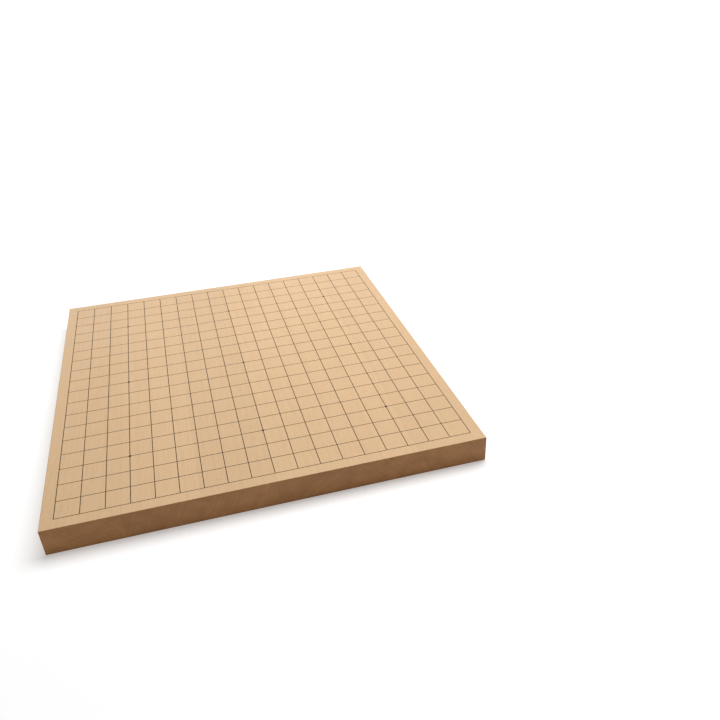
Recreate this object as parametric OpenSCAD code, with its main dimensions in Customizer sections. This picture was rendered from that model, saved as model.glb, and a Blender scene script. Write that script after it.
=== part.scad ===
// Reversible table board: a glued-up wooden slab with go lines on the upper face
// and shogi lines on the lower face.
// Millimetres. The origin is the middle of the lower face, +Z up, the grain runs along Y.

/* [Board] */
// Width of the board, across the staves
board_w = 420; // [330:1:640]
// Length of the board, along the grain
board_l = 452; // [350:1:680]
// Thickness of the board
board_t = 28; // [12:0.5:60]
// Radius of the sanded round on every outer edge
edge_r = 0.8; // [0.3:0.1:3]

/* [Staves] */
// Number of staves glued edge to edge
stave_count = 6; // [2:1:10]
// Thickness of the glue between two staves
glue_t = 0.2; // [0.05:0.05:0.5]

/* [Go face] */
// Wood left outside the go grid at the left and right edges
go_margin_x = 12; // [6:0.1:60]
// Wood left outside the go grid at the front and back edges
go_margin_y = 12.7; // [6:0.1:60]
// Width of a go line
go_line_w = 0.75; // [0.3:0.05:1.5]
// Diameter of a go star point
go_star_d = 2.9; // [1.6:0.1:6]

/* [Shogi face] */
// Wood left outside the shogi grid at the left and right edges
shogi_margin_x = 58.8; // [6:0.1:100]
// Wood left outside the shogi grid at the front and back edges
shogi_margin_y = 59.95; // [6:0.05:100]
// Width of a shogi line
shogi_line_w = 1.2; // [0.3:0.05:2]
// Diameter of a shogi star point
shogi_star_d = 3.4; // [2.2:0.1:8]

/* [Ink] */
// Depth to which the ink fills its grooves
ink_depth = 0.2; // [0.05:0.05:1]

/* [Hidden] */
// Lines each way on the two faces, and the lines that carry star points, counted from 0
go_line_count = 19;
go_star_lines = [3, 9, 15];
shogi_line_count = 10;
shogi_star_lines = [3, 6];

// Each grid fills its face up to its margins
go_pitch_x = (board_w - 2 * go_margin_x) / (go_line_count - 1);
go_pitch_y = (board_l - 2 * go_margin_y) / (go_line_count - 1);
shogi_pitch_x = (board_w - 2 * shogi_margin_x) / (shogi_line_count - 1);
shogi_pitch_y = (board_l - 2 * shogi_margin_y) / (shogi_line_count - 1);
left_edge = -board_w / 2;
right_edge = board_w / 2;

// How far a cut runs past the face that it opens or trims
cut_past = 1;
$fn = 48;

stave_tones = ["burlywood", "wheat", "tan"];
ink_tone = "#2b2119";
glue_tone = "#b98d5c";

// Middle of the glue line to the right of stave i, counted from 1 at the left edge
function seam_at(i) = left_edge + i * board_w / stave_count;

// Place of line k out of count lines, with the grid centred on the board
function line_at(k, count, pitch) = (k - (count - 1) / 2) * pitch;

// Rectangle with rounded corners, centred
module round_rect(w, h, r) {
    square([w - 2 * r, h], center = true);
    square([w, h - 2 * r], center = true);
    for (x = [-1, 1], y = [-1, 1])
        translate([x * (w / 2 - r), y * (h / 2 - r)]) circle(r);
}

// The whole slab with every outer edge rounded: its three outlines, extruded and crossed
module slab() {
    intersection() {
        linear_extrude(board_t) round_rect(board_w, board_l, edge_r);
        translate([0, 0, board_t / 2]) rotate([90, 0, 0])
            linear_extrude(board_l, center = true) round_rect(board_w, board_t, edge_r);
        translate([0, 0, board_t / 2]) rotate([90, 0, 90])
            linear_extrude(board_w, center = true) round_rect(board_l, board_t, edge_r);
    }
}

// Lines both ways, ending flush at the outer ones.
// Lines along the grain are drawn only where they touch the strip from x = left to x = right.
module line_net(count, pitch_x, pitch_y, line_w, left, right) {
    reach_x = (count - 1) * pitch_x + line_w;
    reach_y = (count - 1) * pitch_y + line_w;
    for (k = [0:count - 1]) {
        x = line_at(k, count, pitch_x);
        if (x + line_w / 2 > left && x - line_w / 2 < right)
            translate([x, 0]) square([line_w, reach_y], center = true);
        translate([0, line_at(k, count, pitch_y)]) square([reach_x, line_w], center = true);
    }
}

// Round dots on the crossings of the star lines
module star_dots(star_lines, count, pitch_x, pitch_y, d) {
    for (i = star_lines, j = star_lines)
        translate([line_at(i, count, pitch_x), line_at(j, count, pitch_y)]) circle(d = d);
}

module go_net(left = left_edge, right = right_edge)
    line_net(go_line_count, go_pitch_x, go_pitch_y, go_line_w, left, right);

module go_dots()
    star_dots(go_star_lines, go_line_count, go_pitch_x, go_pitch_y, go_star_d);

module shogi_net(left = left_edge, right = right_edge)
    line_net(shogi_line_count, shogi_pitch_x, shogi_pitch_y, shogi_line_w, left, right);

module shogi_dots()
    star_dots(shogi_star_lines, shogi_line_count, shogi_pitch_x, shogi_pitch_y, shogi_star_d);

// Grooves for the ink on both faces, over the strip from x = left to x = right
module ink_grooves(left, right) {
    translate([0, 0, board_t - ink_depth]) linear_extrude(ink_depth + cut_past) {
        go_net(left, right);
        go_dots();
    }
    translate([0, 0, -cut_past]) linear_extrude(ink_depth + cut_past) {
        shogi_net(left, right);
        shogi_dots();
    }
}

// Strip of the slab from x = left to x = right, with the ink grooves cut into it
module slab_strip(left, right) {
    difference() {
        intersection() {
            slab();
            translate([left, -board_l / 2 - cut_past, -cut_past])
                cube([right - left, board_l + 2 * cut_past, board_t + 2 * cut_past]);
        }
        ink_grooves(left, right);
    }
}

// One stave: it runs from glue line to glue line, or out to the edge of the board
module stave(i) {
    left = i == 1 ? left_edge - cut_past : seam_at(i - 1) + glue_t / 2;
    right = i == stave_count ? right_edge + cut_past : seam_at(i) - glue_t / 2;
    color(stave_tones[i % len(stave_tones)]) slab_strip(left, right);
}

// The glue between stave i and the next one
module glue_line(i) {
    color(glue_tone) slab_strip(seam_at(i) - glue_t / 2, seam_at(i) + glue_t / 2);
}

module go_lines() {
    color(ink_tone) translate([0, 0, board_t - ink_depth]) linear_extrude(ink_depth) difference() {
        go_net();
        go_dots();
    }
}

module go_star_points() {
    color(ink_tone) translate([0, 0, board_t - ink_depth]) linear_extrude(ink_depth) go_dots();
}

module shogi_lines() {
    color(ink_tone) linear_extrude(ink_depth) difference() {
        shogi_net();
        shogi_dots();
    }
}

module shogi_star_points() {
    color(ink_tone) linear_extrude(ink_depth) shogi_dots();
}

for (i = [1:stave_count]) stave(i);
for (i = [1:stave_count - 1]) glue_line(i);
go_lines();
go_star_points();
shogi_lines();
shogi_star_points();
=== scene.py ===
"""A reversible table board, go on the upper face and shogi on the lower one: finishes, light and camera.

The staves, glue lines and ink keep the shapes that the frame gives them. The scene is in metres. The
shaders work in millimetres, so the sizes of rings and marks are in millimetres.
"""

import math

import bpy
import numpy as np
from mathutils import Matrix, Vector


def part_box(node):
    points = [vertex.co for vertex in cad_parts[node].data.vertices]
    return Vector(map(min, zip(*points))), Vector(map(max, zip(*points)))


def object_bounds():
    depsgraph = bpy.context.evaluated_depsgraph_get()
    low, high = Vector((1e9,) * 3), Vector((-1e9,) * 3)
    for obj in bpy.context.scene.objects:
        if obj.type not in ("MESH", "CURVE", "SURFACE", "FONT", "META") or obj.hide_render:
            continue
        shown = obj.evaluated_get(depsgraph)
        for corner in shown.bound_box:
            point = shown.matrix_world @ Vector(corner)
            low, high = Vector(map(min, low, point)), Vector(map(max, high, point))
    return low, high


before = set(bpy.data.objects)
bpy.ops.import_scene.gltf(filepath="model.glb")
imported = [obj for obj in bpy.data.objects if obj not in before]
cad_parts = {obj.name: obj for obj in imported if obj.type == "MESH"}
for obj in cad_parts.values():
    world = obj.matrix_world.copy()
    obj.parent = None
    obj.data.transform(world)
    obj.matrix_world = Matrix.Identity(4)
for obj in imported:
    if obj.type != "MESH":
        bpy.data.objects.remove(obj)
cad_low, cad_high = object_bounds()

# The board in the frame
STAVES = sorted(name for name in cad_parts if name.startswith("stave_"))
GLUE_LINES = sorted(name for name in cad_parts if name.startswith("glue_line_"))
INK = ("go_lines", "go_star_points", "shogi_lines", "shogi_star_points")
BOARD_MIDDLE = (cad_low + cad_high) / 2
BOARD_HALF = (cad_high - cad_low) / 2
TO_MM = 1000.0

# The camera, at the photograph's viewing angle
CAMERA_PLACE = (-0.05295, -0.74091, 0.46111)
CAMERA_TURN = math.radians(14.8287)
CAMERA_TILT = math.radians(30.8733)
CAMERA_ROLL = math.radians(-2.3246)
CAMERA_LENS = 35.714
SENSOR_WIDTH = 36.0
NEAREST_SEEN = 0.01

# Light: one soft box, high up on the right behind the board, with its light leaning a little further back,
# and an even fill from all round
LAMP_PLACE = (0.538, 0.30, 1.30)
LAMP_LEAN = math.radians(6.0)
LAMP_WIDTH = 1.5
LAMP_DEPTH = 0.9
LAMP_WATTS = 21.9
WORLD_FILL = 0.26

# The floor, a disc a hair under the board. The eye sees it lifted by NEAR_LIFT at the board, and between
# LIFT_FROM and LIFT_TO away from the board's middle the lift grows to 1, which is white
FLOOR_DROP = -0.0002
FLOOR_REACH = 14.0
FLOOR_RINGS = 24
FLOOR_SPOKES = 48
NEAR_LIFT = 0.32
LIFT_FROM = 0.3
LIFT_TO = 1.6

# Colours, as linear light. The end colours multiply the colour under them: a stain of the end grain, with
# painted warm bounced light in it as well
PALE_WOOD = (0.735, 0.495, 0.279, 1.0)
DARK_WOOD = (0.625, 0.40, 0.208, 1.0)
END_PALE_STAIN_AND_BOUNCE = (0.655, 0.463, 0.272, 1.0)
END_DARK_STAIN_AND_BOUNCE = (0.545, 0.355, 0.187, 1.0)
INK_BLACK = (0.038, 0.022, 0.011, 1.0)
INK_WORN = (0.085, 0.05, 0.026, 1.0)
GLUE_AMBER = (0.62, 0.40, 0.215, 1.0)
GLUE_DARK = (0.52, 0.32, 0.165, 1.0)
FLOOR_WHITE = (0.86, 0.86, 0.86, 1.0)
WHITE = (1.0, 1.0, 1.0, 1.0)

# How strongly each finish mirrors its surroundings: finished wood a little, dried ink hardly at all
WOOD_SHEEN = 0.35
INK_SHEEN = 0.1

# How deep the unevenness of each surface is, in metres
WOOD_BUMP = 0.00003
INK_BUMP = 0.00003
GLUE_BUMP = 0.00002

# How each stave was sawn: the heart of its tree, across and up in mm from the middle of the stave's lower
# face, how far the heart leans along the board, the width of a ring in mm, and the tones of its faces and
# of its end grain beside the others
STAVE_CUTS = {
    "stave_1": {"heart": (-95.0, -60.0), "lean": 0.020, "ring": 4.2, "tone": 0.987, "end": 1.03},
    "stave_2": {"heart": (120.0, -45.0), "lean": -0.015, "ring": 3.6, "tone": 1.008, "end": 0.97},
    "stave_3": {"heart": (-140.0, 85.0), "lean": 0.012, "ring": 3.9, "tone": 0.967, "end": 1.02},
    "stave_4": {"heart": (80.0, -75.0), "lean": -0.025, "ring": 4.6, "tone": 1.012, "end": 0.96},
    "stave_5": {"heart": (-110.0, -70.0), "lean": 0.018, "ring": 3.4, "tone": 1.014, "end": 1.01},
    "stave_6": {"heart": (130.0, 90.0), "lean": -0.010, "ring": 4.0, "tone": 0.986, "end": 1.02},
}

# Growth rings: how far they waver, in mm; how far good and bad years shift them, in rings, and how quickly
# that changes from ring to ring; where in a ring the latewood rises and where it ends; and the strength of
# the palest ring
RING_WAVER = 14.0
YEAR_SHIFT = 2.6
YEAR_PACE = 0.3
YEAR_OCTAVES = 2.0
LATEWOOD_RISE = (0.15, 0.85)
LATEWOOD_END = (1.0, 0.9)
PALEST_RING = 0.4

# Marks in the finishes. Each is a noise whose blotches have these lengths, in mm across, along and up the
# board, with so many finer octaves. A mark with levels shows where the noise rises from the first to the
# second
MARKS = {
    "coarse_fibre": {"lengths": (1.6, 120.0, 1.6), "octaves": 3.0},
    "fine_fibre": {"lengths": (0.35, 30.0, 0.35), "octaves": 1.0},
    "pore_dash": {"lengths": (0.28, 3.5, 0.28), "octaves": 0.0, "levels": (0.64, 0.74)},
    "pore_hair": {"lengths": (0.22, 16.0, 0.22), "octaves": 0.0, "levels": (0.6, 0.72)},
    "ring_waver": {"lengths": (45.0, 260.0, 45.0), "octaves": 2.0},
    "slow_tone": {"lengths": (60.0, 240.0, 60.0), "octaves": 2.0},
    "end_mottle": {"lengths": (15.0, 60.0, 10.0), "octaves": 5.0, "levels": (0.25, 0.75)},
    "handling": {"lengths": (22.0, 22.0, 22.0), "octaves": 3.0, "levels": (0.3, 0.7)},
    "glue_patch": {"lengths": (8.0, 14.0, 4.0), "octaves": 2.0},
}

# The middle of a noise, and how strongly hairs show beside dashes
NOISE_MIDDLE = 0.5
HAIR_STRENGTH = 0.7

# Depths under a face, in mm, between which end grain and arris come in
END_GRAIN_DEPTHS = (0.6, 0.15)
ARRIS_DEPTHS = (1.4, 0.2)

# The wood's darkness, from 0 for pale to 1 for dark, its roughness and its height, and what each cause adds
WOOD_DARKNESS = 0.1
DARKNESS_SHARES = {"rings": 0.22, "end_rings": 0.43, "streak": 0.65, "slow_tone": 0.5, "pores": 0.8}
WOOD_ROUGHNESS = 0.28
ROUGHNESS_SHARES = {"streak": 0.12, "handling": 0.06, "end_grain": 0.16, "arris": 0.25}
WOOD_HEIGHT = 0.25
HEIGHT_SHARES = {"rings": 0.3, "streak": 0.5, "pores": -0.6}

# The darkened arris, partly rubbed by hands and partly painted shade on the rounded edge: how much it is
# darkened where hands come least, and how far the darkening lowers its tone
LEAST_ARRIS_DARKENING = 0.2
ARRIS_RUB_AND_SHADE_TONE = -0.14

# Ink thins where streaks rise through these levels, and is rougher there. Glue is rougher in dark patches
INK_THIN_LEVELS = (0.5, 0.75)
INK_ROUGHNESS = 0.55
INK_THIN_ROUGHER = 0.2
GLUE_ROUGHNESS = 0.3
GLUE_PATCH_ROUGHER = 0.2

# What the ring group is given
RING_INPUTS = {"Place": "Vector", "Heart X": "Float", "Heart Z": "Float", "Lean": "Float", "Ring": "Float"}

# Sockets of a colour mix: its share, its two colours and its result
MIX_SHARE = 0
MIX_FIRST = 6
MIX_SECOND = 7
MIX_RESULT = 2


def feed(tree, node, inputs):
    """Gives each socket, by name or number, a value or another node's output."""
    for name, value in dict(inputs).items():
        if isinstance(value, bpy.types.NodeSocket):
            tree.links.new(value, node.inputs[name])
        else:
            node.inputs[name].default_value = value


def put(tree, kind, inputs=(), **settings):
    """Adds one node, sets its own properties and feeds its sockets."""
    made = tree.nodes.new(kind)
    for name, value in settings.items():
        setattr(made, name, value)
    feed(tree, made, inputs)
    return made


def calc(tree, operation, *values):
    """The result of one sum on numbers."""
    return put(tree, "ShaderNodeMath", enumerate(values), operation=operation).outputs["Value"]


def vector_calc(tree, operation, *values):
    """The result of one sum on vectors."""
    return put(tree, "ShaderNodeVectorMath", enumerate(values), operation=operation).outputs["Vector"]


def scaled(tree, vector, factor):
    """A vector or a colour times one factor."""
    made = put(tree, "ShaderNodeVectorMath", {0: vector, "Scale": factor}, operation="SCALE")
    return made.outputs["Vector"]


def plus(tree, total, value, share):
    """A total with a share of value added to it."""
    return calc(tree, "MULTIPLY_ADD", value, share, total)


def weigh(tree, base, causes, shares):
    """The base with a share of each cause added to it."""
    total = base
    for name, share in shares.items():
        total = plus(tree, total, causes[name], share)
    return total


def rise(tree, value, start, end):
    """0 at the start, 1 at the end, and a smooth step between. The start may be the larger of the two."""
    limits = {"Value": value, "From Min": start, "From Max": end}
    return put(tree, "ShaderNodeMapRange", limits, interpolation_type="SMOOTHSTEP").outputs["Result"]


def blend(tree, share, first, second, **settings):
    """Two colours mixed by share."""
    inputs = {MIX_SHARE: share, MIX_FIRST: first, MIX_SECOND: second}
    return put(tree, "ShaderNodeMix", inputs, data_type="RGBA", **settings).outputs[MIX_RESULT]


def mark(tree, place, name):
    """One of MARKS over the board, from 0 to 1."""
    kind = MARKS[name]
    frequency = tuple(1.0 / length for length in kind["lengths"])
    squeezed = vector_calc(tree, "MULTIPLY", place, frequency)
    noise = put(tree, "ShaderNodeTexNoise", {"Vector": squeezed, "Scale": 1.0, "Detail": kind["octaves"]})
    if "levels" in kind:
        return rise(tree, noise.outputs["Fac"], *kind["levels"])
    return noise.outputs["Fac"]


def from_middle(tree, noise):
    """A noise as its distance above or below its middle."""
    return calc(tree, "SUBTRACT", noise, NOISE_MIDDLE)


def new_group(name, inputs, outputs):
    """An empty shader group with named sockets. Returns its tree, what it is given, and the node for its
    results."""
    tree = bpy.data.node_groups.new(name, "ShaderNodeTree")
    for socket, kind in inputs.items():
        tree.interface.new_socket(socket, in_out="INPUT", socket_type="NodeSocket" + kind)
    for socket, kind in outputs.items():
        tree.interface.new_socket(socket, in_out="OUTPUT", socket_type="NodeSocket" + kind)
    return tree, tree.nodes.new("NodeGroupInput").outputs, tree.nodes.new("NodeGroupOutput")


def use_group(tree, group, inputs):
    """Places a group in a material or in another group, and returns its outputs."""
    return put(tree, "ShaderNodeGroup", inputs, node_tree=group).outputs


def fibre_group():
    """Fibres along the grain. Streaks are the mean of a coarse and a fine noise, both drawn out along Y.
    Pores are short dashes and, more faintly, longer hairs."""
    outputs = {"Streak": "Float", "Pores": "Float"}
    tree, given, result = new_group("wood_fibre", {"Place": "Vector"}, outputs)
    place = given["Place"]
    both = calc(tree, "ADD", mark(tree, place, "coarse_fibre"), mark(tree, place, "fine_fibre"))
    hairs = calc(tree, "MULTIPLY", mark(tree, place, "pore_hair"), HAIR_STRENGTH)
    feed(tree, result, {
        "Streak": calc(tree, "DIVIDE", both, 2.0),
        "Pores": calc(tree, "MAXIMUM", mark(tree, place, "pore_dash"), hairs),
    })
    return tree


def ring_group():
    """Growth rings: the distance from the heart line, with a slow waver, in ring widths. Good and bad years
    widen and narrow them. Within a ring the dark latewood rises slowly and ends sharply, and its strength
    changes from ring to ring."""
    tree, given, result = new_group("growth_rings", RING_INPUTS, {"Latewood": "Float"})
    x, y, z = put(tree, "ShaderNodeSeparateXYZ", {0: given["Place"]}).outputs
    across = calc(tree, "SUBTRACT", x, plus(tree, given["Heart X"], y, given["Lean"]))
    up = calc(tree, "SUBTRACT", z, given["Heart Z"])
    radius = calc(tree, "SQRT", plus(tree, calc(tree, "MULTIPLY", up, up), across, across))
    wavering = plus(tree, radius, mark(tree, given["Place"], "ring_waver"), RING_WAVER)
    even = calc(tree, "DIVIDE", wavering, given["Ring"])
    pace = {"W": even, "Scale": YEAR_PACE, "Detail": YEAR_OCTAVES}
    years = put(tree, "ShaderNodeTexNoise", pace, noise_dimensions="1D")
    count = plus(tree, even, years.outputs["Fac"], YEAR_SHIFT)
    part = calc(tree, "FRACT", count)
    late = calc(tree, "MULTIPLY", rise(tree, part, *LATEWOOD_RISE), rise(tree, part, *LATEWOOD_END))
    year = put(tree, "ShaderNodeTexWhiteNoise", {"W": calc(tree, "FLOOR", count)}, noise_dimensions="1D")
    strength = plus(tree, PALEST_RING, year.outputs["Value"], 1.0 - PALEST_RING)
    feed(tree, result, {"Latewood": calc(tree, "MULTIPLY", late, strength)})
    return tree


def edge_group():
    """Masks from the depths under the board's three pairs of faces: end grain, a hair under the front and
    back faces, and the arris, where the second nearest pair of faces is close by too."""
    outputs = {"End Grain": "Float", "Arris": "Float"}
    tree, given, result = new_group("board_edges", {"Place": "Vector"}, outputs)
    centred = vector_calc(tree, "SUBTRACT", given["Place"], tuple(BOARD_MIDDLE * TO_MM))
    folded = vector_calc(tree, "ABSOLUTE", centred)
    depths = vector_calc(tree, "SUBTRACT", tuple(BOARD_HALF * TO_MM), folded)
    x, y, z = put(tree, "ShaderNodeSeparateXYZ", {0: depths}).outputs
    nearer = calc(tree, "MINIMUM", x, y)
    farther = calc(tree, "MAXIMUM", x, y)
    second = calc(tree, "MAXIMUM", nearer, calc(tree, "MINIMUM", farther, z))
    feed(tree, result, {
        "End Grain": rise(tree, y, *END_GRAIN_DEPTHS),
        "Arris": rise(tree, second, *ARRIS_DEPTHS),
    })
    return tree


def stave_group(fibre, rings, edges):
    """Planed softwood under a thin finish. Rings, streaks, slow changes of tone and pores move its colour
    between a pale and a dark wood. The end grain is darkened unevenly: partly the finish soaking in and
    staining it, partly painted warm bounced light. The arris is darkened here and there: partly rubbing by
    hands, partly painted shade on the rounded edge."""
    inputs = {**RING_INPUTS, "Tone": "Float", "End Tone": "Float"}
    outputs = {"Colour": "Color", "Roughness": "Float", "Height": "Float"}
    tree, given, result = new_group("stave_wood", inputs, outputs)
    place = given["Place"]
    grain = use_group(tree, fibre, {"Place": place})
    edge = use_group(tree, edges, {"Place": place})
    late = use_group(tree, rings, {name: given[name] for name in RING_INPUTS})["Latewood"]
    handled = mark(tree, place, "handling")
    causes = {
        "rings": late,
        "end_rings": calc(tree, "MULTIPLY", late, edge["End Grain"]),
        "streak": from_middle(tree, grain["Streak"]),
        "slow_tone": from_middle(tree, mark(tree, place, "slow_tone")),
        "pores": grain["Pores"],
        "handling": from_middle(tree, handled),
        "end_grain": edge["End Grain"],
        "arris": edge["Arris"],
    }
    darkness = weigh(tree, WOOD_DARKNESS, causes, DARKNESS_SHARES)
    wood = blend(tree, darkness, PALE_WOOD, DARK_WOOD, clamp_factor=False)
    # The end-grain colour: a stain, with painted warm bounced light in it as well
    stain_and_bounce = blend(tree, mark(tree, place, "end_mottle"), END_PALE_STAIN_AND_BOUNCE, END_DARK_STAIN_AND_BOUNCE)
    stained_and_bounce_lit = blend(tree, edge["End Grain"], wood, stain_and_bounce, blend_type="MULTIPLY")
    end_change = calc(tree, "SUBTRACT", given["End Tone"], given["Tone"])
    tone = plus(tree, given["Tone"], edge["End Grain"], end_change)
    # Darkens the arris: partly rubbing by hands, partly painted shade on the rounded edge
    rubbed_and_shaded = calc(tree, "MULTIPLY", edge["Arris"], plus(tree, LEAST_ARRIS_DARKENING, handled, 1.0 - LEAST_ARRIS_DARKENING))
    feed(tree, result, {
        "Colour": scaled(tree, stained_and_bounce_lit, plus(tree, tone, rubbed_and_shaded, ARRIS_RUB_AND_SHADE_TONE)),
        "Roughness": weigh(tree, WOOD_ROUGHNESS, causes, ROUGHNESS_SHARES),
        "Height": weigh(tree, WOOD_HEIGHT, causes, HEIGHT_SHARES),
    })
    return tree


def clear_tree(owner):
    """Empties the nodes of a material or a world, and returns their tree."""
    owner.use_nodes = True
    owner.node_tree.nodes.clear()
    return owner.node_tree


def new_finish(name):
    """A material with its shader, and the piece's own coordinates in mm."""
    material = bpy.data.materials.new(name)
    tree = clear_tree(material)
    shader = put(tree, "ShaderNodeBsdfPrincipled")
    put(tree, "ShaderNodeOutputMaterial", {"Surface": shader.outputs["BSDF"]})
    own = put(tree, "ShaderNodeTexCoord").outputs["Object"]
    return material, tree, shader, scaled(tree, own, TO_MM)


def raised(tree, height, depth):
    """The normal of a surface raised by height times depth."""
    made = put(tree, "ShaderNodeBump", {"Height": height, "Distance": depth, "Strength": 1.0})
    return made.outputs["Normal"]


def stave_material(name, wood):
    """The wood of one stave, sawn as STAVE_CUTS says."""
    low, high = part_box(name)
    cut = STAVE_CUTS[name]
    heart_across, heart_up = cut["heart"]
    material, tree, shader, place = new_finish(name + "_wood")
    sawn = use_group(tree, wood, {
        "Place": place,
        "Heart X": (low.x + high.x) / 2 * TO_MM + heart_across,
        "Heart Z": heart_up,
        "Lean": cut["lean"],
        "Ring": cut["ring"],
        "Tone": cut["tone"],
        "End Tone": cut["end"],
    })
    feed(tree, shader, {
        "Base Color": sawn["Colour"],
        "Roughness": sawn["Roughness"],
        "Normal": raised(tree, sawn["Height"], WOOD_BUMP),
        "Specular IOR Level": WOOD_SHEEN,
    })
    return material


def ink_material(fibre):
    """Dried ink that thins a little along the fibres under it."""
    material, tree, shader, place = new_finish("line_ink")
    grain = use_group(tree, fibre, {"Place": place})
    thin = calc(tree, "MAXIMUM", rise(tree, grain["Streak"], *INK_THIN_LEVELS), grain["Pores"])
    feed(tree, shader, {
        "Base Color": blend(tree, thin, INK_BLACK, INK_WORN),
        "Roughness": plus(tree, INK_ROUGHNESS, thin, INK_THIN_ROUGHER),
        "Normal": raised(tree, grain["Streak"], INK_BUMP),
        "Specular IOR Level": INK_SHEEN,
    })
    return material


def glue_material(fibre, edges):
    """Cured glue, nearly as pale as the wood, a little uneven along the joint, and darkened at the ends like
    the end grain, partly by stain and partly by painted warm bounced light.
    """
    material, tree, shader, place = new_finish("joint_glue")
    grain = use_group(tree, fibre, {"Place": place})
    ends = use_group(tree, edges, {"Place": place})["End Grain"]
    patch = mark(tree, place, "glue_patch")
    film = blend(tree, patch, GLUE_AMBER, GLUE_DARK)
    feed(tree, shader, {
        # The ends take the end-grain colour: a stain, with painted warm bounced light in it as well
        "Base Color": blend(tree, ends, film, END_DARK_STAIN_AND_BOUNCE, blend_type="MULTIPLY"),
        "Roughness": plus(tree, GLUE_ROUGHNESS, patch, GLUE_PATCH_ROUGHER),
        "Normal": raised(tree, grain["Streak"], GLUE_BUMP),
        "Specular IOR Level": WOOD_SHEEN,
    })
    return material


def finish_board():
    """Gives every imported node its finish."""
    fibre = fibre_group()
    edges = edge_group()
    wood = stave_group(fibre, ring_group(), edges)
    finishes = {name: stave_material(name, wood) for name in STAVES}
    finishes.update(dict.fromkeys(GLUE_LINES, glue_material(fibre, edges)))
    finishes.update(dict.fromkeys(INK, ink_material(fibre)))
    for name, material in finishes.items():
        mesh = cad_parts[name].data
        mesh.materials.clear()
        mesh.materials.append(material)


def add_object(name, data):
    """Puts a mesh, a light or a camera into the scene."""
    made = bpy.data.objects.new(name, data)
    bpy.context.scene.collection.objects.link(made)
    return made


def floor_points():
    """A flat disc: the radius grows with the square of the first parameter, the second goes once round."""
    radius = FLOOR_REACH * np.linspace(0.0, 1.0, FLOOR_RINGS)[:, None] ** 2
    angle = np.linspace(0.0, 2 * np.pi, FLOOR_SPOKES, endpoint=False)[None, :]
    axes = np.broadcast_arrays(radius * np.cos(angle), radius * np.sin(angle), FLOOR_DROP)
    return np.stack(axes, axis=-1)


def grid_object(name, points):
    """A mesh of quads between neighbouring points of a (rows, columns, 3) grid, closed round its columns."""
    rows, columns = points.shape[:2]
    index = np.arange(rows * columns).reshape(rows, columns)
    index = np.concatenate([index, index[:, :1]], axis=1)
    corners = [index[:-1, :-1], index[1:, :-1], index[1:, 1:], index[:-1, 1:]]
    quads = np.stack(corners, axis=-1).reshape(-1, 4)
    mesh = bpy.data.meshes.new(name)
    mesh.from_pydata(points.reshape(-1, 3).tolist(), [], quads.tolist())
    return add_object(name, mesh)


def seen_directly(tree):
    """1 for what the camera sees, also in a mirror or through glass, and 0 for light on the board."""
    path = put(tree, "ShaderNodeLightPath").outputs
    mirrored = calc(tree, "MAXIMUM", path["Is Glossy Ray"], path["Is Transmission Ray"])
    return calc(tree, "MAXIMUM", path["Is Camera Ray"], mirrored)


def floor_material():
    """White floor that takes the board's shadow. To the eye it is lifted to white away from the board."""
    material = bpy.data.materials.new("floor_white")
    tree = clear_tree(material)
    own = put(tree, "ShaderNodeTexCoord").outputs["Object"]
    away = put(tree, "ShaderNodeVectorMath", {0: own}, operation="LENGTH").outputs["Value"]
    lift = plus(tree, NEAR_LIFT, rise(tree, away, LIFT_FROM, LIFT_TO), 1.0 - NEAR_LIFT)
    strength = calc(tree, "MULTIPLY", lift, seen_directly(tree))
    glow = put(tree, "ShaderNodeEmission", {"Color": WHITE, "Strength": strength})
    matt = put(tree, "ShaderNodeBsdfDiffuse", {"Color": FLOOR_WHITE})
    both = put(tree, "ShaderNodeAddShader", {0: matt.outputs["BSDF"], 1: glow.outputs["Emission"]})
    put(tree, "ShaderNodeOutputMaterial", {"Surface": both.outputs["Shader"]})
    return material


def lay_floor():
    """The floor under the board, which is no part of it."""
    floor = grid_object("stage_floor", floor_points())
    floor.data.materials.append(floor_material())


def fill_world():
    """A world that is white to the eye and a soft fill to the board."""
    world = bpy.data.worlds.new("studio")
    bpy.context.scene.world = world
    tree = clear_tree(world)
    strength = plus(tree, WORLD_FILL, seen_directly(tree), 1.0 - WORLD_FILL)
    sky = put(tree, "ShaderNodeBackground", {"Color": WHITE, "Strength": strength})
    put(tree, "ShaderNodeOutputWorld", {"Surface": sky.outputs["Background"]})


def hang_lamp():
    """The soft box, its long side parallel to the front edge. Unturned it shines straight down, and a turn
    about X leans its light towards the back edge."""
    light = bpy.data.lights.new("key_softbox", "AREA")
    light.shape = "RECTANGLE"
    light.size = LAMP_WIDTH
    light.size_y = LAMP_DEPTH
    light.energy = LAMP_WATTS
    made = add_object("key_softbox", light)
    made.location = LAMP_PLACE
    made.rotation_euler = (LAMP_LEAN, 0.0, 0.0)


def place_camera():
    """Turned right, tilted down and rolled a little, with the photograph's field of view."""
    lens = bpy.data.cameras.new("camera")
    lens.lens = CAMERA_LENS
    lens.sensor_width = SENSOR_WIDTH
    lens.clip_start = NEAREST_SEEN
    turn = Matrix.Rotation(-CAMERA_TURN, 4, "Z")
    tilt = Matrix.Rotation(math.pi / 2 - CAMERA_TILT, 4, "X")
    roll = Matrix.Rotation(CAMERA_ROLL, 4, "Z")
    made = add_object("camera", lens)
    made.matrix_world = Matrix.Translation(CAMERA_PLACE) @ turn @ tilt @ roll
    bpy.context.scene.camera = made


place_camera()
finish_board()
lay_floor()
fill_world()
hang_lamp()
bpy.context.scene.view_settings.view_transform = "Standard"
